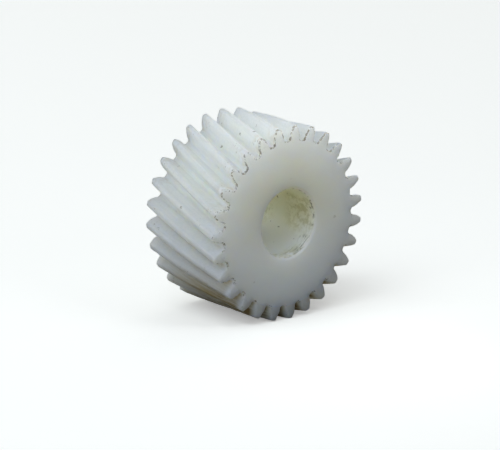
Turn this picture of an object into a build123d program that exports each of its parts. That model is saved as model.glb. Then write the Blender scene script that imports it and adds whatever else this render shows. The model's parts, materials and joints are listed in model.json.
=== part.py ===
"""One-piece helical gear in natural white plastic, with a plain chamfered bore.

Millimetres. The gear turns about Y, its origin is the middle of the bore, and its front face looks along -Y.
A tooth is centred on +Z halfway across the face width, so half a turn about Z leaves the gear as it was.
"""

from build123d import *
from math import atan, cos, degrees, hypot, pi, radians, sin, sqrt, tan
import os

# ---- driving dimensions ----
TOOTH_COUNT = 27
NORMAL_MODULE = 1.5
NORMAL_PRESSURE_ANGLE = radians(20)
HELIX_ANGLE = radians(19)  # right-hand, at the pitch cylinder
FACE_WIDTH = 24.0
BORE_RADIUS = 8.0
BORE_CHAMFER = 0.6

# ---- tooth proportions ----
ADDENDUM = 1.0 * NORMAL_MODULE
DEDENDUM = 1.25 * NORMAL_MODULE
ROOT_FILLET_RADIUS = 0.38 * NORMAL_MODULE
TIP_ROUNDING_RADIUS = 0.35 * NORMAL_MODULE
FLANK_POINTS = 7

# ---- sizes that follow, in the plane across the axis ----
PRESSURE_ANGLE = atan(tan(NORMAL_PRESSURE_ANGLE) / cos(HELIX_ANGLE))
PITCH_RADIUS = TOOTH_COUNT * NORMAL_MODULE / cos(HELIX_ANGLE) / 2
BASE_RADIUS = PITCH_RADIUS * cos(PRESSURE_ANGLE)
TIP_RADIUS = PITCH_RADIUS + ADDENDUM
ROOT_RADIUS = PITCH_RADIUS - DEDENDUM
TWIST = FACE_WIDTH * tan(HELIX_ANGLE) / PITCH_RADIUS  # from the front face to the rear face
TOOTH_PITCH = 2 * pi / TOOTH_COUNT


def involute(angle):
    """The involute function: how far a flank has curled in at this pressure angle."""
    return tan(angle) - angle


BASE_HALF_ANGLE = pi / (2 * TOOTH_COUNT) + involute(PRESSURE_ANGLE)  # half a tooth, at the base circle


def polar(radius, angle):
    return Vector(radius * cos(angle), radius * sin(angle))


def roll_at(radius):
    """Length of the string unwound from the base circle when the involute reaches a radius."""
    return sqrt(radius**2 - BASE_RADIUS**2)


def flank_point(roll, tooth_angle, side):
    """A point on the tooth's flank; side is 1 or -1 for its two flanks."""
    curl = roll / BASE_RADIUS
    return polar(hypot(BASE_RADIUS, roll), tooth_angle + side * (BASE_HALF_ANGLE - curl + atan(curl)))


def flank_direction(roll, tooth_angle, side):
    """The flank's outward direction there, which is along the string's own base radius."""
    return polar(1, tooth_angle + side * (BASE_HALF_ANGLE - roll / BASE_RADIUS))


def rounding(centre_radius, radius, sign):
    """An arc tangent to a flank and to the circle beyond it: its centre's angle from the tooth's middle,
    and the roll where it meets the flank. Sign is 1 in the gap, for a root fillet, and -1 in the tooth, at its tip."""
    roll = roll_at(centre_radius)
    curl = roll / BASE_RADIUS
    return BASE_HALF_ANGLE + sign * radius / BASE_RADIUS - curl + atan(curl), roll - sign * radius


FILLET_ANGLE, FILLET_ROLL = rounding(ROOT_RADIUS + ROOT_FILLET_RADIUS, ROOT_FILLET_RADIUS, 1)
TIP_ANGLE, TIP_ROLL = rounding(TIP_RADIUS - TIP_ROUNDING_RADIUS, TIP_ROUNDING_RADIUS, -1)


def short_arc(centre, start, end):
    """The shorter arc about a centre, from start to end."""
    middle_direction = ((start - centre) + (end - centre)).normalized()
    return Edge.make_three_point_arc(start, centre + middle_direction * (start - centre).length, end)


def tooth_side(tooth_angle, side):
    """Root fillet, flank and tip rounding of one side of a tooth, from the root outwards."""
    root = polar(ROOT_RADIUS, tooth_angle + side * FILLET_ANGLE)
    tip = polar(TIP_RADIUS, tooth_angle + side * TIP_ANGLE)
    fillet_centre = polar(ROOT_RADIUS + ROOT_FILLET_RADIUS, tooth_angle + side * FILLET_ANGLE)
    tip_centre = polar(TIP_RADIUS - TIP_ROUNDING_RADIUS, tooth_angle + side * TIP_ANGLE)
    step = (TIP_ROLL - FILLET_ROLL) / (FLANK_POINTS - 1)
    rolls = [FILLET_ROLL + i * step for i in range(FLANK_POINTS)]
    points = [flank_point(roll, tooth_angle, side) for roll in rolls]
    ends = [flank_direction(roll, tooth_angle, side) for roll in (rolls[0], rolls[-1])]
    return [
        short_arc(fillet_centre, root, points[0]),
        Edge.make_spline(points, tangents=ends),
        short_arc(tip_centre, points[-1], tip),
    ]


def tooth_outline(tooth_angle):
    """One tooth and the root arc that leads to the next one."""
    axis_point = Vector(0, 0)
    tip_start, tip_end = (polar(TIP_RADIUS, tooth_angle + side * TIP_ANGLE) for side in (-1, 1))
    root_start = polar(ROOT_RADIUS, tooth_angle + FILLET_ANGLE)
    root_end = polar(ROOT_RADIUS, tooth_angle + TOOTH_PITCH - FILLET_ANGLE)
    return [
        *tooth_side(tooth_angle, -1),
        short_arc(axis_point, tip_start, tip_end),
        *tooth_side(tooth_angle, 1),
        short_arc(axis_point, root_start, root_end),
    ]


def toothed_blank():
    """The solid gear before boring, twisted up +Z, with a tooth centred on +X at half its height."""
    edges = [edge for i in range(TOOTH_COUNT) for edge in tooth_outline(i * TOOTH_PITCH - TWIST / 2)]
    return Solid.extrude_linear_with_rotation(Face(Wire(edges)), (0, 0, 0), (0, 0, FACE_WIDTH), degrees(TWIST))


def bore_cutter():
    """The bore with a chamfer at each mouth, along +Z. It runs past both faces."""
    past = 1.0
    mouth = BORE_RADIUS + BORE_CHAMFER
    outline = Polyline(
        (0, 0, -past),
        (mouth + past, 0, -past),
        (BORE_RADIUS, 0, BORE_CHAMFER),
        (BORE_RADIUS, 0, FACE_WIDTH - BORE_CHAMFER),
        (mouth + past, 0, FACE_WIDTH + past),
        (0, 0, FACE_WIDTH + past),
        close=True,
    )
    return revolve(Face(Wire(outline.edges())), Axis.Z)


def helical_gear():
    front_face = Plane(origin=(0, -FACE_WIDTH / 2, 0), x_dir=(0, 0, 1), z_dir=(0, 1, 0))
    return front_face * (Part(toothed_blank().wrapped) - bore_cutter())


gear = helical_gear()
os.makedirs("parts", exist_ok=True)
export_step(gear, "parts/helical_gear.step")

print(f"pitch radius {PITCH_RADIUS:.3f}, tip radius {TIP_RADIUS:.3f}, root radius {ROOT_RADIUS:.3f}")
print(f"twist {degrees(TWIST):.3f} degrees, volume {gear.volume:.1f} mm3, valid {gear.is_valid}")
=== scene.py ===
"""The looks of the natural nylon helical gear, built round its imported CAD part. Metres, +Z up.

The gear is one mesh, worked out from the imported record's own tooth data. An outline is made of complex
numbers: the real axis points at the middle of a tooth (+Z at half the face width), the imaginary axis at +X.
"""
import json
import random
from math import atan, cos, hypot, pi, radians, sin, sqrt, tan
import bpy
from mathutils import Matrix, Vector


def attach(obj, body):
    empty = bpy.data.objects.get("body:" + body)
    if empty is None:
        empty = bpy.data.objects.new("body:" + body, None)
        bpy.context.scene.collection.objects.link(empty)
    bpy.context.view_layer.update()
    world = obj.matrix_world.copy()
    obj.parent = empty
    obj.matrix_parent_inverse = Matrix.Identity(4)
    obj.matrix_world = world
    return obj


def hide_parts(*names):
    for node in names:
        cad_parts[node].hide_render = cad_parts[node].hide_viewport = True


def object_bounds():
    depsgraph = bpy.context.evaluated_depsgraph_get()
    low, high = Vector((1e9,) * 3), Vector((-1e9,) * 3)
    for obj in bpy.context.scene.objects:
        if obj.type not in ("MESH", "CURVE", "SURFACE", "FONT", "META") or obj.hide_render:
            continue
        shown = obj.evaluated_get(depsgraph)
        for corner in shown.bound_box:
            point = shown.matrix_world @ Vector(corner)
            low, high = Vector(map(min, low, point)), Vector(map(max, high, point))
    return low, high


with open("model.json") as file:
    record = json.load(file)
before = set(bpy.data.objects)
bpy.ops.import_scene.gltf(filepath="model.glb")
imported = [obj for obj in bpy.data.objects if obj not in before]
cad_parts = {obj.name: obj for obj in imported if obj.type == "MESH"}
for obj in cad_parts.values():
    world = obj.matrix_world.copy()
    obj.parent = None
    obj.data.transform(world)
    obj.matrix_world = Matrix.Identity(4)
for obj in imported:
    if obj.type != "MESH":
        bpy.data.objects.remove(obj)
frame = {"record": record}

from types import SimpleNamespace

import bpy
import numpy as np
from mathutils import Euler, Vector, geometry, noise

CAD_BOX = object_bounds()
MM = 0.001

# ---- the gear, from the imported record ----
NOTES = frame["record"]["mount_notes"]["tooth_rim"]
MOUNTS = {mount["name"]: mount for mount in frame["record"]["mounts"]}
TOOTH_COUNT = NOTES["teeth"]
NORMAL_MODULE = NOTES["normal_module_mm"] * MM
HELIX_ANGLE = radians(NOTES["helix_angle_deg"])
PRESSURE_ANGLE = atan(tan(radians(NOTES["normal_pressure_angle_deg"])) / cos(HELIX_ANGLE))
FACE_WIDTH = NOTES["face_width_mm"] * MM
BORE_RADIUS = MOUNTS["bore"]["dims"]["r_mm"] * MM
BORE_CHAMFER = (FACE_WIDTH - MOUNTS["bore"]["dims"]["length_mm"] * MM) / 2

# ---- the sizes that follow ----
HALF_WIDTH = FACE_WIDTH / 2
PITCH_RADIUS = TOOTH_COUNT * NORMAL_MODULE / cos(HELIX_ANGLE) / 2
BASE_RADIUS = PITCH_RADIUS * cos(PRESSURE_ANGLE)
TIP_RADIUS = PITCH_RADIUS + NORMAL_MODULE
ROOT_RADIUS = PITCH_RADIUS - 1.25 * NORMAL_MODULE
ROOT_FILLET_RADIUS = 0.38 * NORMAL_MODULE
TIP_ROUNDING_RADIUS = 0.35 * NORMAL_MODULE
TWIST_PER_METRE = tan(HELIX_ANGLE) / PITCH_RADIUS
TOOTH_PITCH = 2 * pi / TOOTH_COUNT
BASE_HALF_ANGLE = pi / (2 * TOOTH_COUNT) + tan(PRESSURE_ANGLE) - PRESSURE_ANGLE

# ---- the soft edges and the mesh's fineness ----
END_EDGE_RADIUS = 0.28 * MM
BORE_EDGE_RADIUS = 0.15 * MM
TIP_POINTS = 2
ROUNDING_POINTS = 5
FLANK_POINTS = 8
ROOT_POINTS = 3
END_EDGE_ROWS = 4
ROWS_ALONG = 70
BORE_SIDES = 240
BORE_ROWS = 26
FACE_RINGS = 14

# ---- wear, as (least, most) where it varies ----
WEAR_SEED = 27
CREST_KNOCKS_PER_TOOTH = (2, 6)
CREST_KNOCK_RADII = (0.4 * MM, 1.1 * MM)
CREST_KNOCK_DEPTHS = (0.03 * MM, 0.13 * MM)
END_TEARS_PER_TOOTH = 8
END_TEAR_RADII = (0.22 * MM, 0.6 * MM)
END_TEAR_DEPTHS = (0.03 * MM, 0.16 * MM)
FULL_KNOCK_DEPTH = 0.08 * MM  # a knock as deep as this is fully scuffed
WAVE_HEIGHT = 0.012 * MM
WAVE_SIZE = 2.2 * MM
CREST_WEAR = 0.09 * MM
CREST_WEAR_SIZE = 0.7 * MM

# ---- the plastic ----
NYLON_IOR = 1.53
SCATTER_DEPTH = 20 * MM
SCATTER_BY_COLOUR = (1.0, 0.85, 0.6)  # red light goes deepest
SQUEEZE_ALONG_TEETH = (1.0, 0.06, 1.0)  # x, y and z factors that draw noise out
SQUEEZE_ROUND_BORE = (0.12, 1.0, 0.12)
DIRTIEST_X, DIRTIEST_Z = -0.4, 0.92  # the rim is dirtiest in this direction, up and a little to the left

# ---- floor, light and camera ----
FLOOR_REACH = 3.0
FLOOR_GLOW_NEAR = 0.32
FLOOR_FADE_START = 0.7  # the camera sees the floor turn to white between these distances from the gear
FLOOR_FADE_END = 2.2
SKY_TINT = (0.91, 0.975, 1.0, 1.0)
SKY_STRENGTH = 0.265
LIGHT_DISTANCE = 2.2
LIGHT_SIZE = 2.0
SMALL_LIGHT_SIZE = 30 * MM
CAMERA_AIM = Vector((-1.238, 0.155, -2.754)) * MM
CAMERA_AZIMUTH = -41.417  # degrees, as are the next two
CAMERA_ELEVATION = 14.316
CAMERA_ROLL = 1.972
CAMERA_DISTANCE = 558.08 * MM
CAMERA_SENSOR_MM = 36.0
CAMERA_LENS_MM = 172.8


# ---- tooth outline ----
def unit(angle):
    return complex(cos(angle), sin(angle))


def roll_at(radius):
    """Length of the string unwound from the base circle when the involute reaches a radius."""
    return sqrt(radius**2 - BASE_RADIUS**2)


def rounding_angle(roll, radius, sign):
    """Angle from the tooth's middle to the centre of an arc tangent to its flank.
    Sign is 1 for an arc in the gap and -1 for one in the tip."""
    curl = roll / BASE_RADIUS
    return BASE_HALF_ANGLE + sign * radius / BASE_RADIUS - curl + atan(curl)


def half_tooth():
    """Points and outward normals of half a tooth's outline, from mid-tip to mid-gap."""
    tip_centre_radius = TIP_RADIUS - TIP_ROUNDING_RADIUS
    root_centre_radius = ROOT_RADIUS + ROOT_FILLET_RADIUS
    tip_roll, root_roll = roll_at(tip_centre_radius), roll_at(root_centre_radius)
    tip_angle = rounding_angle(tip_roll, TIP_ROUNDING_RADIUS, -1)
    root_angle = rounding_angle(root_roll, ROOT_FILLET_RADIUS, 1)
    tip_centre = tip_centre_radius * unit(tip_angle)
    root_centre = root_centre_radius * unit(root_angle)
    flank_rolls = np.linspace(tip_roll + TIP_ROUNDING_RADIUS, root_roll - ROOT_FILLET_RADIUS, FLANK_POINTS)
    flank_turns = [BASE_HALF_ANGLE - roll / BASE_RADIUS + pi / 2 for roll in flank_rolls]
    outline = []
    for angle in np.linspace(0, tip_angle, TIP_POINTS)[:-1]:
        outline.append((TIP_RADIUS * unit(angle), unit(angle)))
    for turn in np.linspace(tip_angle, flank_turns[0], ROUNDING_POINTS)[:-1]:
        outline.append((tip_centre + TIP_ROUNDING_RADIUS * unit(turn), unit(turn)))
    for roll, turn in zip(flank_rolls, flank_turns):
        curl = roll / BASE_RADIUS
        outline.append((hypot(BASE_RADIUS, roll) * unit(BASE_HALF_ANGLE - curl + atan(curl)), unit(turn)))
    for turn in np.linspace(flank_turns[-1], root_angle, ROUNDING_POINTS)[1:]:
        outline.append((root_centre - ROOT_FILLET_RADIUS * unit(turn), unit(turn)))
    for angle in np.linspace(root_angle, TOOTH_PITCH / 2, ROOT_POINTS)[1:]:
        outline.append((ROOT_RADIUS * unit(angle), unit(angle)))
    return outline


def whole_outline():
    """Points and outward normals right round the gear, as two complex arrays."""
    half = half_tooth()
    mirrored = [(point.conjugate(), normal.conjugate()) for point, normal in half[-2:0:-1]]
    tooth = np.array(mirrored + half)
    turns = np.exp(1j * TOOTH_PITCH * np.arange(TOOTH_COUNT))[:, None]
    return (turns * tooth[:, 0]).ravel(), (turns * tooth[:, 1]).ravel()


# ---- the gear's mesh ----
def place(points, y):
    """Points of the complex plane at a distance along the gear's axis, as rows of x, y, z."""
    return np.column_stack([points.imag, np.full(len(points), y), points.real])


def end_rows():
    """(distance from the face, inset of the outline) of each row of the rounded end edge."""
    flat_margin = 1.5 * END_EDGE_RADIUS  # the first row lies on the flat face, inside the rounding
    rows = [(0.0, flat_margin)]
    for turn in np.linspace(0, pi / 2, END_EDGE_ROWS + 1):
        rows.append((END_EDGE_RADIUS * (1 - cos(turn)), END_EDGE_RADIUS * (1 - sin(turn))))
    return rows


def tooth_rows():
    """Every row across the teeth, from the front face to the rear: (y, inset)."""
    front = [(-HALF_WIDTH + depth, inset) for depth, inset in end_rows()]
    rear = [(-y, inset) for y, inset in reversed(front)]
    shares = np.linspace(-1, 1, ROWS_ALONG + 1)[1:-1]
    crowded = 0.35  # how much closer together the rows lie near the ends
    places = (HALF_WIDTH - END_EDGE_RADIUS) * (shares + crowded * np.sin(pi * shares) / pi)
    return front + [(y, 0.0) for y in places] + rear


def rounded_corner(before, corner, after):
    """A corner of the bore's section, softened by a few points of a curve that touches both of its sides."""
    corner = np.array(corner)
    to_before, to_after = np.array(before) - corner, np.array(after) - corner
    start = corner + to_before / np.linalg.norm(to_before) * BORE_EDGE_RADIUS
    end = corner + to_after / np.linalg.norm(to_after) * BORE_EDGE_RADIUS
    shares_along = (0, 0.35, 0.65, 1)
    return [tuple((1 - t) ** 2 * start + 2 * t * (1 - t) * corner + t**2 * end) for t in shares_along]


def bore_section():
    """(radius, y) down the bore's wall, from the front face to the rear, chamfers included."""
    mouth = (BORE_RADIUS + BORE_CHAMFER, -HALF_WIDTH)
    throat = (BORE_RADIUS, -HALF_WIDTH + BORE_CHAMFER)
    face_point = (mouth[0] + 3 * BORE_EDGE_RADIUS, -HALF_WIDTH)
    front = rounded_corner(face_point, mouth, throat) + rounded_corner(mouth, throat, (BORE_RADIUS, 0))
    rear = [(radius, -y) for radius, y in reversed(front)]
    wall = [(BORE_RADIUS, y) for y in np.linspace(front[-1][1], -front[-1][1], BORE_ROWS)[1:-1]]
    return front + wall + rear


def face_triangles(outer, inner):
    """Fills one flat face, between the tooth outline and the bore's edge, with even triangles.
    Returns the extra points that it needs, and triangles of places in outer + inner + extra."""
    inner_radius = abs(inner[0])
    extra = []
    for ring, radius in enumerate(np.linspace(inner_radius, ROOT_RADIUS, FACE_RINGS)[1:-1]):
        half_step = ring % 2 / 2
        extra += [radius * unit((k + half_step) * 2 * pi / BORE_SIDES) for k in range(BORE_SIDES)]
    points = [Vector((p.real, p.imag)) / MM for p in [*outer, *inner, *extra]]
    loop = list(range(len(outer)))
    hole = [(len(outer) + k, len(outer) + (k + 1) % len(inner)) for k in range(len(inner))]
    triangles_inside_faces = 1
    nearest_apart = 1e-6
    made = geometry.delaunay_2d_cdt(points, hole, [loop], triangles_inside_faces, nearest_apart)
    made_points, _, made_triangles, origins, _, _ = made
    triangles = []
    for triangle in made_triangles:
        middle = sum((made_points[corner] for corner in triangle), Vector((0, 0))) / 3
        if middle.length * MM > inner_radius * cos(pi / len(inner)):
            triangles.append([origins[corner][0] for corner in triangle])
    return extra, triangles


def tube_faces(start, rows, count, outwards):
    """Faces between the neighbouring rows of a tube. Its vertices are numbered from start, count to a row."""
    faces = []
    for row in range(rows - 1):
        for k in range(count):
            a, b = (start + row * count + j for j in (k, (k + 1) % count))
            faces.append((a, b, b + count, a + count) if outwards else (a, a + count, b + count, b))
    return faces


def gear_surface():
    """Vertices and faces of the whole gear, before any wear: the teeth, then the bore, then the ends."""
    outline, normals = whole_outline()
    rows = tooth_rows()
    section = bore_section()
    circle = np.exp(2j * pi * np.arange(BORE_SIDES) / BORE_SIDES)
    count = len(outline)
    bore_start = count * len(rows)
    next_free = bore_start + BORE_SIDES * len(section)
    vertices = [place((outline - inset * normals) * unit(TWIST_PER_METRE * y), y) for y, inset in rows]
    vertices += [place(radius * circle, y) for radius, y in section]
    faces = tube_faces(0, len(rows), count, outwards=True)
    faces += tube_faces(bore_start, len(section), BORE_SIDES, outwards=False)
    face_inset = rows[0][1]
    mouth_radius = section[0][0]
    for first_outer, first_inner, y, turn_over in (
        (0, bore_start, -HALF_WIDTH, -1),
        (bore_start - count, next_free - BORE_SIDES, HALF_WIDTH, 1),
    ):
        outer = (outline - face_inset * normals) * unit(TWIST_PER_METRE * y)
        extra, triangles = face_triangles(outer, mouth_radius * circle)
        numbers = [*range(first_outer, first_outer + count), *range(first_inner, first_inner + BORE_SIDES)]
        numbers += range(next_free, next_free + len(extra))
        faces += [tuple(numbers[corner] for corner in triangle[::turn_over]) for triangle in triangles]
        vertices.append(place(np.array(extra), y))
        next_free += len(extra)
    return np.vstack(vertices), faces


# ---- wear, worked into the surface ----
def smooth_step(low, high, values):
    share = np.clip((values - low) / (high - low), 0, 1)
    return share * share * (3 - 2 * share)


def cloud(points, size, seed):
    """Smooth noise from about -1 to 1 at each point, with lumps of about this size."""
    shift = Vector((seed * 7.3, seed * 3.1, seed * 5.7))
    return np.array([noise.noise(Vector(point) / size + shift) for point in points])


def dent_field(points, centres, radii, depths):
    """How deep a scatter of small round dents goes at each point."""
    field = np.zeros(len(points))
    for centre, radius, depth in zip(centres, radii, depths):
        near = np.abs(points - centre).max(axis=1) < radius
        squared = ((points[near] - centre) ** 2).sum(axis=1) / radius**2
        field[near] = np.maximum(field[near], depth * np.clip(1 - squared, 0, 1) ** 2)
    return field


def crest_dents(dice):
    """Small knocks along the tooth crests: centres, radii and depths."""
    half_crest = 0.014  # radians
    dents = []
    for tooth in range(TOOTH_COUNT):
        for _ in range(dice.randint(*CREST_KNOCKS_PER_TOOTH)):
            y = dice.uniform(-HALF_WIDTH, HALF_WIDTH)
            turn = tooth * TOOTH_PITCH + TWIST_PER_METRE * y + dice.uniform(-half_crest, half_crest)
            point = place(np.array([TIP_RADIUS * unit(turn)]), y)[0]
            dents.append((point, dice.uniform(*CREST_KNOCK_RADII), dice.uniform(*CREST_KNOCK_DEPTHS)))
    return zip(*dents)


def end_dents(dice, outline):
    """Small tears along the tooth outlines of both faces: centres, radii and depths."""
    dents = []
    for y in (-HALF_WIDTH, HALF_WIDTH):
        for _ in range(END_TEARS_PER_TOOTH * TOOTH_COUNT):
            point = place(np.array([dice.choice(outline) * unit(TWIST_PER_METRE * y)]), y)[0]
            dents.append((point, dice.uniform(*END_TEAR_RADII), dice.uniform(*END_TEAR_DEPTHS)))
    return zip(*dents)


def worn(points, normals, outline):
    """The points moved along their normals by waves, knocks and tears, and kept inside the CAD part's box.
    Also returns how deep the knocks and tears go at each point."""
    dice = random.Random(WEAR_SEED)
    radius = np.hypot(points[:, 0], points[:, 2])
    on_teeth = smooth_step(ROOT_RADIUS - 0.3 * MM, ROOT_RADIUS, radius)
    near_tip = smooth_step(TIP_RADIUS - 0.8 * MM, TIP_RADIUS - 0.1 * MM, radius)
    waves = WAVE_HEIGHT * cloud(points, WAVE_SIZE, seed=1) * on_teeth
    crest = CREST_WEAR * np.clip(cloud(points, CREST_WEAR_SIZE, seed=2) + 0.1, 0, 1) * near_tip
    knocks = dent_field(points, *crest_dents(dice)) + dent_field(points, *end_dents(dice, outline))
    moved = points + normals * (waves - crest - knocks)[:, None]
    new_radius = np.hypot(moved[:, 0], moved[:, 2])
    shrink = np.minimum(1, TIP_RADIUS / new_radius)
    moved[:, 0] *= shrink
    moved[:, 2] *= shrink
    moved[:, 1] = np.clip(moved[:, 1], -HALF_WIDTH, HALF_WIDTH)
    return moved, knocks


def end_outline_mask(total, count):
    """1 where each end's face turns into its rounded edge, fading to 0 on the face and a little way along."""
    mask = np.zeros(total)
    rows = tooth_rows()
    for row, (y, _) in enumerate(rows[1:-1], start=1):
        depth = HALF_WIDTH - abs(y)
        mask[row * count : (row + 1) * count] = 1 - smooth_step(0.1 * MM, 0.65 * MM, depth)
    return mask


def left_flank_mask(total, outline, outline_normals):
    """About 1 on each tooth's left flank, seen from the front, 0.5 on its crest and 0 on its right flank."""
    lean = (outline_normals * outline.conjugate()).imag / np.abs(outline)
    mask = np.zeros(total)
    around = np.tile(0.5 - 0.5 * lean, len(tooth_rows()))
    mask[: len(around)] = around
    return mask


def add_attribute(mesh, name, values):
    attribute = mesh.attributes.new(name, "FLOAT", "POINT")
    attribute.data.foreach_set("value", np.ascontiguousarray(values, np.float32))


def read_vectors(mesh, name):
    """A vector of every vertex, such as its co or its normal, as rows of x, y, z."""
    values = np.empty(len(mesh.vertices) * 3)
    mesh.vertices.foreach_get(name, values)
    return values.reshape(-1, 3)


def make_gear():
    vertices, faces = gear_surface()
    outline, outline_normals = whole_outline()
    mesh = bpy.data.meshes.new("nylon_gear")
    mesh.from_pydata(vertices.tolist(), [], faces)
    mesh.validate()
    points, normals = read_vectors(mesh, "co"), read_vectors(mesh, "normal")
    moved, knocks = worn(points, normals, outline)
    mesh.vertices.foreach_set("co", moved.ravel())
    mesh.shade_smooth()
    mesh.update()
    add_attribute(mesh, "end_outline", end_outline_mask(len(points), len(outline)))
    add_attribute(mesh, "left_flanks", left_flank_mask(len(points), outline, outline_normals))
    add_attribute(mesh, "knocks", np.clip(knocks / FULL_KNOCK_DEPTH, 0, 1))
    gear = bpy.data.objects.new("nylon_gear", mesh)
    bpy.context.scene.collection.objects.link(gear)
    return gear


# ---- shades ----
def colour(red, green, blue):
    """An sRGB colour, each part from 0 to 1, as linear light with alpha."""
    parts = (red, green, blue)
    return tuple(c / 12.92 if c <= 0.04045 else ((c + 0.055) / 1.055) ** 2.4 for c in parts) + (1.0,)


WHITE = colour(1, 1, 1)
CLEAN_SHADE = colour(0.955, 0.968, 0.958)
CLOUDED_SHADE = colour(0.945, 0.95, 0.93)
STREAK_SHADE = colour(0.887, 0.905, 0.898)
# painted shade: the yellow of the bore's shaded wall
BORE_PAINTED_SHADE = colour(0.995, 0.998, 0.893)
# painted shade: the web darker and cooler low down
LOW_WEB_PAINTED_SHADE = colour(0.93, 0.955, 0.955)
# painted shade: the warm, brownish bounce on the lowest teeth
LOWEST_TEETH_PAINTED_SHADE = colour(0.955, 0.945, 0.875)
# painted shade: the warmer face round the bore
ROUND_BORE_PAINTED_SHADE = colour(0.94, 0.93, 0.86)
# pale scuffs, and painted highlights along the crests
SCUFFED_AND_HIGHLIGHT_SHADE = colour(0.985, 0.985, 0.97)
# film, and painted shade under the gear, browner and darker lower down
FILM_AND_PAINTED_SHADE = colour(0.71, 0.60, 0.37)
LOWEST_FILM_AND_PAINTED_SHADE = colour(0.50, 0.40, 0.23)
SMEAR_SHADE = colour(0.68, 0.67, 0.47)
SCRATCH_SHADE = colour(0.66, 0.67, 0.62)
GRIME_SHADE = colour(0.35, 0.30, 0.21)
FLOOR_SHADE_SEEN = colour(0.985, 0.983, 0.975)
FLOOR_SHADE_UNSEEN = colour(0.42, 0.405, 0.355)


# ---- materials ----
class Nodes:
    """A short way to write a material's or world's nodes.
    An input is a number, a tuple or another node's output."""

    def __init__(self, owner):
        owner.use_nodes = True
        self.tree = owner.node_tree
        self.tree.nodes.clear()

    def feed(self, socket, value):
        if isinstance(value, bpy.types.NodeSocket):
            self.tree.links.new(value, socket)
        else:
            socket.default_value = value

    def add(self, kind, settings=None, **inputs):
        """A new node. An input's name has underscores for its spaces."""
        node = self.tree.nodes.new("ShaderNode" + kind)
        for name, value in (settings or {}).items():
            setattr(node, name, value)
        for name, value in inputs.items():
            self.feed(node.inputs[name.replace("_", " ")], value)
        return node

    def numbered(self, kind, settings, values):
        """A new node whose inputs have to be found by their places, given as {place: value}."""
        node = self.add(kind, settings)
        for place_in_node, value in values.items():
            self.feed(node.inputs[place_in_node], value)
        return node

    def math(self, operation, *values):
        return self.numbered("Math", {"operation": operation}, dict(enumerate(values))).outputs[0]

    def chain(self, operation, result, *others):
        for value in others:
            result = self.math(operation, result, value)
        return result

    def plus(self, *values):
        return self.chain("ADD", *values)

    def minus(self, first, second):
        return self.math("SUBTRACT", first, second)

    def times(self, *values):
        return self.chain("MULTIPLY", *values)

    def greatest(self, *values):
        return self.chain("MAXIMUM", *values)

    def ramp(self, value, low, high, at_low=0.0, at_high=1.0):
        """A smooth change from at_low to at_high as the value goes from low to high."""
        inputs = {"Value": value, "From_Min": low, "From_Max": high, "To_Min": at_low, "To_Max": at_high}
        return self.add("MapRange", {"interpolation_type": "SMOOTHSTEP"}, **inputs).outputs[0]

    def noise(self, vector, size, detail=2.0, roughness=0.5):
        """Noise of lumps of about this size, in metres, from 0 to 1."""
        inputs = {"Vector": vector, "Scale": 1 / size, "Detail": detail, "Roughness": roughness}
        return self.add("TexNoise", **inputs).outputs["Fac"]

    def squeeze(self, vector, factors):
        """A vector with its parts multiplied, so that noise over it is drawn out where a factor is small."""
        return self.numbered("VectorMath", {"operation": "MULTIPLY"}, {0: vector, 1: factors}).outputs[0]

    def mix(self, share, first, second):
        """A colour from first to second. For colours the Mix node uses inputs 0, 6 and 7, and output 2."""
        return self.numbered("Mix", {"data_type": "RGBA"}, {0: share, 6: first, 7: second}).outputs[2]

    def attribute(self, name):
        return self.add("Attribute", {"attribute_name": name}).outputs["Fac"]


def gear_places(nodes):
    """Where a point is on the gear: its position, x, y, z, radius and depth from the nearer face, and 1 if it
    is on the teeth. Streaks is the position untwisted and squeezed, so noise over it runs along the teeth."""
    position = nodes.add("TexCoord").outputs["Object"]
    x, y, z = nodes.add("SeparateXYZ", Vector=position).outputs
    radius = nodes.math("SQRT", nodes.plus(nodes.math("POWER", x, 2.0), nodes.math("POWER", z, 2.0)))
    turn = nodes.times(y, -TWIST_PER_METRE)
    untwisted = nodes.add("VectorRotate", {"rotation_type": "Y_AXIS"}, Vector=position, Angle=turn).outputs[0]
    return SimpleNamespace(
        position=position,
        x=x,
        y=y,
        z=z,
        radius=radius,
        depth=nodes.minus(HALF_WIDTH, nodes.math("ABSOLUTE", y)),
        on_teeth=nodes.ramp(radius, ROOT_RADIUS - 0.1 * MM, ROOT_RADIUS + 0.3 * MM),
        streaks=nodes.squeeze(untwisted, SQUEEZE_ALONG_TEETH),
    )


def bore_painted_shade_places(nodes, at):
    """Where the bore's wall gets a painted yellow shade: deep inside and high up, where the bore lies in
    shade, and less so towards the bottom, where light falls in.
    """
    in_bore = nodes.ramp(at.radius, BORE_RADIUS + 0.35 * MM, BORE_RADIUS + 0.05 * MM)
    wander = nodes.times(nodes.minus(nodes.noise(at.position, 4 * MM, 3.0), 0.5), 5 * MM)
    deep = nodes.ramp(nodes.plus(at.depth, wander), 2.5 * MM, 8 * MM, 0.2, 1.0)
    high = nodes.ramp(nodes.plus(at.z, wander), -4 * MM, 2 * MM)
    off_the_bottom = nodes.ramp(at.z, -7.5 * MM, -1 * MM, 0.3, 1.0)
    return nodes.times(in_bore, nodes.greatest(deep, high), off_the_bottom)


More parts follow.
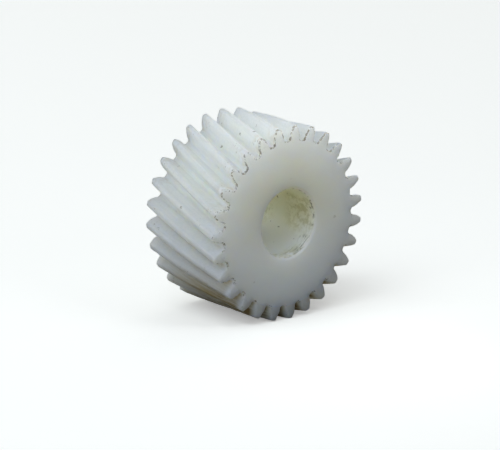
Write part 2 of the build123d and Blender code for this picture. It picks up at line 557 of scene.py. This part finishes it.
def milky_shade(nodes, at):
    """The plastic's colour: milky, clouded and streaked along the teeth, with painted shade in it: yellow in
    the bore, darker and cooler low on the web, warmer on the lowest teeth, warmer round the bore.
    """
    clouds = nodes.ramp(nodes.noise(at.position, 9 * MM, 3.0), 0.35, 0.7)
    shade = nodes.mix(clouds, CLEAN_SHADE, CLOUDED_SHADE)
    streaks = nodes.ramp(nodes.noise(at.streaks, 0.7 * MM, 3.0), 0.5, 0.72)
    shade = nodes.mix(nodes.times(streaks, at.on_teeth, 0.5), shade, STREAK_SHADE)
    mottle = nodes.ramp(nodes.noise(at.position, 0.6 * MM, 4.0, 0.6), 0.42, 0.62)
    more_on_teeth = nodes.ramp(at.on_teeth, 0.0, 1.0, 0.08, 0.3)
    shade = nodes.mix(nodes.times(mottle, more_on_teeth), shade, STREAK_SHADE)
    # painted shade: the bore's wall turns yellow where it lies in shade
    shade = nodes.mix(bore_painted_shade_places(nodes, at), shade, BORE_PAINTED_SHADE)
    # painted shade: the web turns darker and cooler towards the bottom
    low_web_painted_shade = nodes.times(nodes.ramp(at.z, 0.0, -14 * MM, 0.0, 0.6), nodes.minus(1.0, at.on_teeth))
    shade = nodes.mix(low_web_painted_shade, shade, LOW_WEB_PAINTED_SHADE)
    # painted shade: the lowest teeth warmer, as if lit by a brown bounce from below
    lowest_teeth_painted_shade = nodes.times(nodes.ramp(at.z, -15 * MM, -20 * MM), at.on_teeth)
    shade = nodes.mix(lowest_teeth_painted_shade, shade, LOWEST_TEETH_PAINTED_SHADE)
    # painted shade: the face warmer round the bore, more so high up
    round_bore_painted_shade = nodes.ramp(at.radius, BORE_RADIUS + 11 * MM, BORE_RADIUS + 1 * MM)
    high = nodes.ramp(at.z, -10 * MM, 5 * MM, 0.0, 0.75)
    return nodes.mix(nodes.times(round_bore_painted_shade, high), shade, ROUND_BORE_PAINTED_SHADE)


def wear_and_highlight_places(nodes, at):
    """Where the surface is made pale: painted highlights along the crests, mostly low down, and scuffs in the
    knocks and tears.
    """
    # painted highlight: the crests whitened, more so low down
    crest_highlights = nodes.ramp(at.radius, TIP_RADIUS - 0.6 * MM, TIP_RADIUS - 0.3 * MM)
    broken = nodes.ramp(nodes.noise(at.streaks, 0.6 * MM, 3.0), 0.4, 0.6, 0.1, 1.0)
    low = nodes.ramp(at.z, 10 * MM, 0.0, 0.3, 0.9)
    return nodes.greatest(nodes.times(nodes.attribute("knocks"), 0.4), nodes.times(crest_highlights, broken, low))


def film_and_painted_shade_places(nodes, at):
    """Where a brown colour lies: in the low gaps and on the lowest teeth it is partly film and partly painted
    shade, darker towards the bottom; faintly on the upper left teeth's ends it is film.
    """
    cloudy = nodes.ramp(nodes.noise(at.streaks, 1.1 * MM, 4.0, 0.65), 0.36, 0.6, 0.55, 1.0)
    low_gaps = nodes.times(
        nodes.ramp(at.radius, ROOT_RADIUS + 1.4 * MM, ROOT_RADIUS),
        nodes.ramp(at.z, 1 * MM, -12 * MM, 0.0, 0.8),
    )
    lowest_teeth_painted_shade = nodes.times(
        nodes.ramp(at.z, -7 * MM, -17 * MM),
        nodes.ramp(at.y, HALF_WIDTH, 0.0, 0.4, 1.0),
    )
    behind_faces = nodes.ramp(at.depth, 0.2 * MM, 2 * MM)
    upper_left_ends = nodes.times(
        nodes.ramp(at.depth, 6 * MM, 0.5 * MM),
        nodes.ramp(at.depth, 0.1 * MM, 0.5 * MM),
        nodes.ramp(at.z, 2 * MM, 9 * MM, 0.0, 0.25),
        nodes.ramp(at.x, 2 * MM, -5 * MM),
        nodes.ramp(nodes.noise(at.position, 1.5 * MM, 4.0, 0.6), 0.4, 0.62),
    )
    low = nodes.times(nodes.greatest(low_gaps, lowest_teeth_painted_shade), behind_faces, cloudy)
    return nodes.times(at.on_teeth, nodes.greatest(low, upper_left_ends))


def bore_smears(nodes, at):
    """Where olive smears lie in the bore: high up on one side, and at the bottom just inside the mouths."""
    inside = nodes.ramp(at.radius, BORE_RADIUS + 0.3 * MM, BORE_RADIUS + 0.1 * MM)
    blotches = nodes.noise(at.position, 1.8 * MM, 5.0, 0.72)
    upper_right = nodes.times(
        nodes.ramp(nodes.plus(at.x, nodes.times(at.z, 0.1)), 4.8 * MM, 7.4 * MM),
        nodes.ramp(at.z, -6 * MM, -1 * MM),
        nodes.ramp(at.z, 6 * MM, 4 * MM),
        nodes.ramp(at.depth, 12 * MM, 6 * MM),
        nodes.ramp(blotches, 0.42, 0.6),
    )
    bottom = nodes.times(
        nodes.ramp(at.z, -5.5 * MM, -7.5 * MM),
        nodes.ramp(at.depth, 5 * MM, 2 * MM),
        nodes.ramp(blotches, 0.4, 0.56),
    )
    return nodes.times(inside, nodes.greatest(upper_right, bottom))


def bore_scratches(nodes, at):
    """Scratches that run round the bore just inside its mouths, mostly low down."""
    round_the_bore = nodes.squeeze(at.position, SQUEEZE_ROUND_BORE)
    rings = nodes.ramp(nodes.noise(round_the_bore, 0.35 * MM, 3.0, 0.6), 0.48, 0.58)
    patchy = nodes.ramp(nodes.noise(at.position, 2 * MM, 3.0), 0.4, 0.6, 0.2, 1.0)
    near_mouth = nodes.ramp(at.depth, 5 * MM, 1.5 * MM)
    inside = nodes.ramp(at.radius, BORE_RADIUS + 0.4 * MM, BORE_RADIUS + 0.1 * MM)
    low = nodes.ramp(at.z, 0.0, -5 * MM, 0.15, 1.0)
    return nodes.times(rings, patchy, near_mouth, inside, low)


def outline_grime(nodes, at, blots, patches, dirty_side):
    """Broken lines of grime along the tooth outlines of both ends, mostly on the left flanks."""
    outline = nodes.attribute("end_outline")
    ragged = nodes.minus(nodes.noise(at.position, 0.7 * MM, 4.0, 0.6), 0.5)
    ragged = nodes.times(ragged, 5.0, nodes.ramp(outline, 0.0, 0.3))
    line = nodes.ramp(nodes.plus(outline, ragged), 0.28, 0.95)
    left = nodes.ramp(nodes.attribute("left_flanks"), 0.1, 0.9, -0.06, 0.05)
    near_root = nodes.ramp(at.radius, ROOT_RADIUS + 1.0 * MM, ROOT_RADIUS + 0.15 * MM, -0.12, 0.1)
    near_root = nodes.times(near_root, nodes.minus(1.0, dirty_side))
    flecks = nodes.times(nodes.minus(nodes.noise(at.position, 0.45 * MM, 2.0), 0.5), 0.5)
    chance = nodes.plus(nodes.times(dirty_side, 0.17), nodes.times(patches, 0.06), left, near_root)
    likely = nodes.plus(blots, flecks, chance)
    dark = nodes.ramp(likely, 0.64, 0.74)
    faint = nodes.ramp(likely, 0.5, 0.64, 0.0, 0.42)
    return nodes.times(line, nodes.greatest(dark, faint))


def mouth_grime(nodes, at, blots):
    """A broken line of grime round the bore where its wall meets the chamfer, mostly high up."""
    from_the_wall = nodes.math("ABSOLUTE", nodes.minus(at.radius, BORE_RADIUS + 0.03 * MM))
    line = nodes.ramp(from_the_wall, 0.18 * MM, 0.03 * MM)
    near_face = nodes.ramp(at.depth, 1.0 * MM, 0.7 * MM)
    high = nodes.ramp(at.z, -4 * MM, 1 * MM, 0.0, 0.13)
    broken = nodes.ramp(nodes.plus(blots, high), 0.56, 0.72, 0.0, 0.8)
    return nodes.times(line, near_face, broken)


def specks(nodes, at, spacing, size):
    """Ragged specks of up to this size, scattered about this far apart: 1 inside them."""
    share = size / spacing
    cells = nodes.add("TexVoronoi", Vector=at.position, Scale=1 / spacing).outputs["Distance"]
    ragged = nodes.ramp(nodes.noise(at.position, 0.8 * size, 2.0), 0.3, 0.7, -0.4 * share, 0.4 * share)
    uneven = nodes.ramp(nodes.noise(at.position, 2.5 * spacing, 1.0), 0.42, 0.6, 0.7 * share, 0.0)
    return nodes.ramp(nodes.plus(cells, ragged, uneven), share, 0.6 * share)


def loose_specks(nodes, at, patches, dirty_side):
    """A few specks everywhere, more in patches on the teeth and in the bore, and a spray near the ends."""
    in_bore = nodes.ramp(at.radius, BORE_RADIUS + 0.4 * MM, BORE_RADIUS + 0.1 * MM)
    in_patches = nodes.times(
        nodes.ramp(patches, 0.85, 1.0),
        nodes.greatest(in_bore, nodes.times(at.on_teeth, 0.7)),
    )
    in_gaps = nodes.times(
        nodes.ramp(at.radius, ROOT_RADIUS + 1.1 * MM, ROOT_RADIUS + 0.3 * MM),
        at.on_teeth,
        nodes.ramp(at.depth, 10 * MM, 4 * MM),
        nodes.ramp(patches, 0.3, 0.7),
    )
    near_ends = nodes.times(
        nodes.ramp(at.depth, 9 * MM, 0.4 * MM),
        at.on_teeth,
        nodes.ramp(patches, 0.5, 0.9),
        nodes.ramp(dirty_side, 0.0, 0.6, 0.6, 1.0),
    )
    few = specks(nodes, at, 4.6 * MM, 0.4 * MM)
    more = nodes.times(specks(nodes, at, 1.8 * MM, 0.36 * MM), nodes.greatest(in_patches, in_gaps))
    spray = nodes.times(specks(nodes, at, 0.85 * MM, 0.21 * MM), near_ends)
    on_faces = nodes.times(
        nodes.ramp(at.depth, 0.05 * MM, 0.02 * MM),
        nodes.ramp(at.radius, BORE_RADIUS, BORE_RADIUS + 1 * MM),
    )
    fainter_on_faces = nodes.minus(0.75, nodes.times(on_faces, 0.5))
    return nodes.times(nodes.greatest(few, more, spray), fainter_on_faces)


def grime_places(nodes, at):
    """Where grime lies: broken lines on the tooth outlines and the bore's mouths, and loose specks."""
    blots = nodes.noise(at.position, 0.9 * MM, 4.0, 0.65)
    patches = nodes.ramp(nodes.noise(at.position, 3.5 * MM, 2.0), 0.38, 0.62)
    side = nodes.plus(nodes.times(at.x, DIRTIEST_X), nodes.times(at.z, DIRTIEST_Z))
    dirty_side = nodes.ramp(nodes.math("DIVIDE", side, at.radius), 0.05, 0.7)
    return nodes.greatest(
        outline_grime(nodes, at, blots, patches, dirty_side),
        mouth_grime(nodes, at, blots),
        loose_specks(nodes, at, patches, dirty_side),
    )


def nylon_shade(nodes, at, scratches, grime):
    """The plastic's whole colour: milky, with scuffs and painted crest highlights, film and painted shade low
    down, smears, scratches and grime over it in turn.
    """
    shade = nodes.mix(wear_and_highlight_places(nodes, at), milky_shade(nodes, at), SCUFFED_AND_HIGHLIGHT_SHADE)
    # painted shade: the brown turns darker towards the bottom
    film_and_painted_shade = nodes.mix(nodes.ramp(at.z, -12 * MM, -19 * MM), FILM_AND_PAINTED_SHADE, LOWEST_FILM_AND_PAINTED_SHADE)
    shade = nodes.mix(film_and_painted_shade_places(nodes, at), shade, film_and_painted_shade)
    shade = nodes.mix(nodes.times(bore_smears(nodes, at), 0.5), shade, SMEAR_SHADE)
    shade = nodes.mix(nodes.times(scratches, 0.9), shade, SCRATCH_SHADE)
    return nodes.mix(nodes.times(grime, 0.8), shade, GRIME_SHADE)


def nylon_relief(nodes, at, scratches, grime):
    """The surface's fine relief, as a normal: grain, cutter streaks, raised grime and scratches."""
    grain = nodes.times(nodes.noise(at.position, 0.35 * MM, 3.0), 0.012 * MM)
    cuts = nodes.times(nodes.noise(at.streaks, 0.5 * MM, 3.0), at.on_teeth, 0.05 * MM)
    raised = nodes.plus(grain, cuts, nodes.times(grime, 0.02 * MM))
    height = nodes.minus(raised, nodes.times(scratches, 0.05 * MM))
    return nodes.add("Bump", Strength=1.0, Distance=1.0, Height=height).outputs[0]


def nylon():
    """Natural, undyed nylon: milky and translucent, with grime where it collects."""
    material = bpy.data.materials.new("natural_nylon")
    nodes = Nodes(material)
    at = gear_places(nodes)
    scratches = bore_scratches(nodes, at)
    grime = grime_places(nodes, at)
    satin = nodes.ramp(nodes.noise(at.position, 1.5 * MM, 3.0), 0.3, 0.7, 0.36, 0.5)
    shader = nodes.add(
        "BsdfPrincipled",
        Base_Color=nylon_shade(nodes, at, scratches, grime),
        Roughness=nodes.plus(satin, nodes.times(grime, 0.35)),
        Normal=nylon_relief(nodes, at, scratches, grime),
        IOR=NYLON_IOR,
        Subsurface_Weight=1.0,
        Subsurface_Radius=SCATTER_BY_COLOUR,
        Subsurface_Scale=SCATTER_DEPTH,
    )
    nodes.add("OutputMaterial", Surface=shader.outputs[0])
    return material


def floor_material():
    """Pale where the camera sees it, and white far off, but it throws little light back up at the gear."""
    material = bpy.data.materials.new("pale_floor")
    nodes = Nodes(material)
    seen = nodes.add("LightPath").outputs["Is Camera Ray"]
    position = nodes.add("TexCoord").outputs["Object"]
    away = nodes.add("VectorMath", {"operation": "LENGTH"}, Vector=position).outputs["Value"]
    glow = nodes.ramp(away, FLOOR_FADE_START, FLOOR_FADE_END, FLOOR_GLOW_NEAR, 1.0)
    shader = nodes.add(
        "BsdfPrincipled",
        Base_Color=nodes.mix(seen, FLOOR_SHADE_UNSEEN, FLOOR_SHADE_SEEN),
        Roughness=1.0,
        Emission_Color=WHITE,
        Emission_Strength=nodes.times(seen, glow),
    )
    nodes.add("OutputMaterial", Surface=shader.outputs[0])
    return material


# ---- floor, light and camera ----
def make_floor():
    z = CAD_BOX[0].z
    corners = [(x * FLOOR_REACH, y * FLOOR_REACH, z) for x, y in ((-1, -1), (1, -1), (1, 1), (-1, 1))]
    mesh = bpy.data.meshes.new("floor")
    mesh.from_pydata(corners, [], [(0, 1, 2, 3)])
    mesh.materials.append(floor_material())
    floor = bpy.data.objects.new("floor", mesh)
    bpy.context.scene.collection.objects.link(floor)


def looking_at(viewpoint, aim, roll=0.0):
    """The rotation of a camera or light at the viewpoint that points at aim."""
    turned = (Vector(aim) - Vector(viewpoint)).to_track_quat("-Z", "Y")
    return (turned.to_matrix() @ Euler((0, 0, roll)).to_matrix()).to_euler()


def from_angles(aim, azimuth, elevation, distance):
    """A point at a distance from aim. Azimuth 0 is in front (-Y) and 90 is to the right (+X), in degrees."""
    turn, rise = radians(azimuth), radians(elevation)
    away = Vector((sin(turn) * cos(rise), -cos(turn) * cos(rise), sin(rise)))
    return Vector(aim) + away * distance


def make_light(name, azimuth, elevation, power, tint, distance=LIGHT_DISTANCE, size=LIGHT_SIZE):
    """A round lamp that points at the middle of the gear. The camera doesn't see the lamp itself."""
    light = bpy.data.lights.new(name, "AREA")
    light.shape = "DISK"
    light.size = size
    light.energy = power
    light.color = tint
    lamp = bpy.data.objects.new(name, light)
    lamp.location = from_angles((0, 0, 0), azimuth, elevation, distance)
    lamp.rotation_euler = looking_at(lamp.location, (0, 0, 0))
    lamp.visible_camera = False
    bpy.context.scene.collection.objects.link(lamp)


def make_world():
    """An even sky. The camera itself sees it white."""
    world = bpy.data.worlds.new("studio")
    nodes = Nodes(world)
    seen = nodes.add("LightPath").outputs["Is Camera Ray"]
    glow = nodes.ramp(seen, 0.0, 1.0, SKY_STRENGTH, 1.0)
    sky = nodes.add("Background", Color=nodes.mix(seen, SKY_TINT, WHITE), Strength=glow)
    nodes.add("OutputWorld", Surface=sky.outputs[0])
    bpy.context.scene.world = world


def make_camera():
    """The viewpoint: the front face and the left side in view, from a little above."""
    camera_data = bpy.data.cameras.new("camera")
    camera_data.sensor_width = CAMERA_SENSOR_MM
    camera_data.lens = CAMERA_LENS_MM
    camera_data.clip_start = 10 * MM
    camera = bpy.data.objects.new("camera", camera_data)
    camera.location = from_angles(CAMERA_AIM, CAMERA_AZIMUTH, CAMERA_ELEVATION, CAMERA_DISTANCE)
    camera.rotation_euler = looking_at(camera.location, CAMERA_AIM, radians(CAMERA_ROLL))
    bpy.context.scene.collection.objects.link(camera)
    bpy.context.scene.camera = camera


gear = make_gear()
gear.data.materials.append(nylon())
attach(gear, "root")
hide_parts("helical_gear")

make_floor()
make_world()
make_light("sky_light", -80, 47, 24.5, (0.905, 0.97, 1.0))
make_light("back_light", -140, 12, 11.5, (0.92, 0.97, 1.0))
make_light("rear_light", 125, 42, 6.0, (1.0, 1.0, 0.9))
make_light("face_light", 0, 43, 0.0086, (0.97, 0.985, 1.0), distance=70 * MM, size=SMALL_LIGHT_SIZE)
make_light("upper_right_light", 80, 62, 0.0018, (0.90, 0.97, 1.0), distance=55 * MM, size=SMALL_LIGHT_SIZE)
make_camera()
bpy.context.scene.view_settings.view_transform = "Standard"
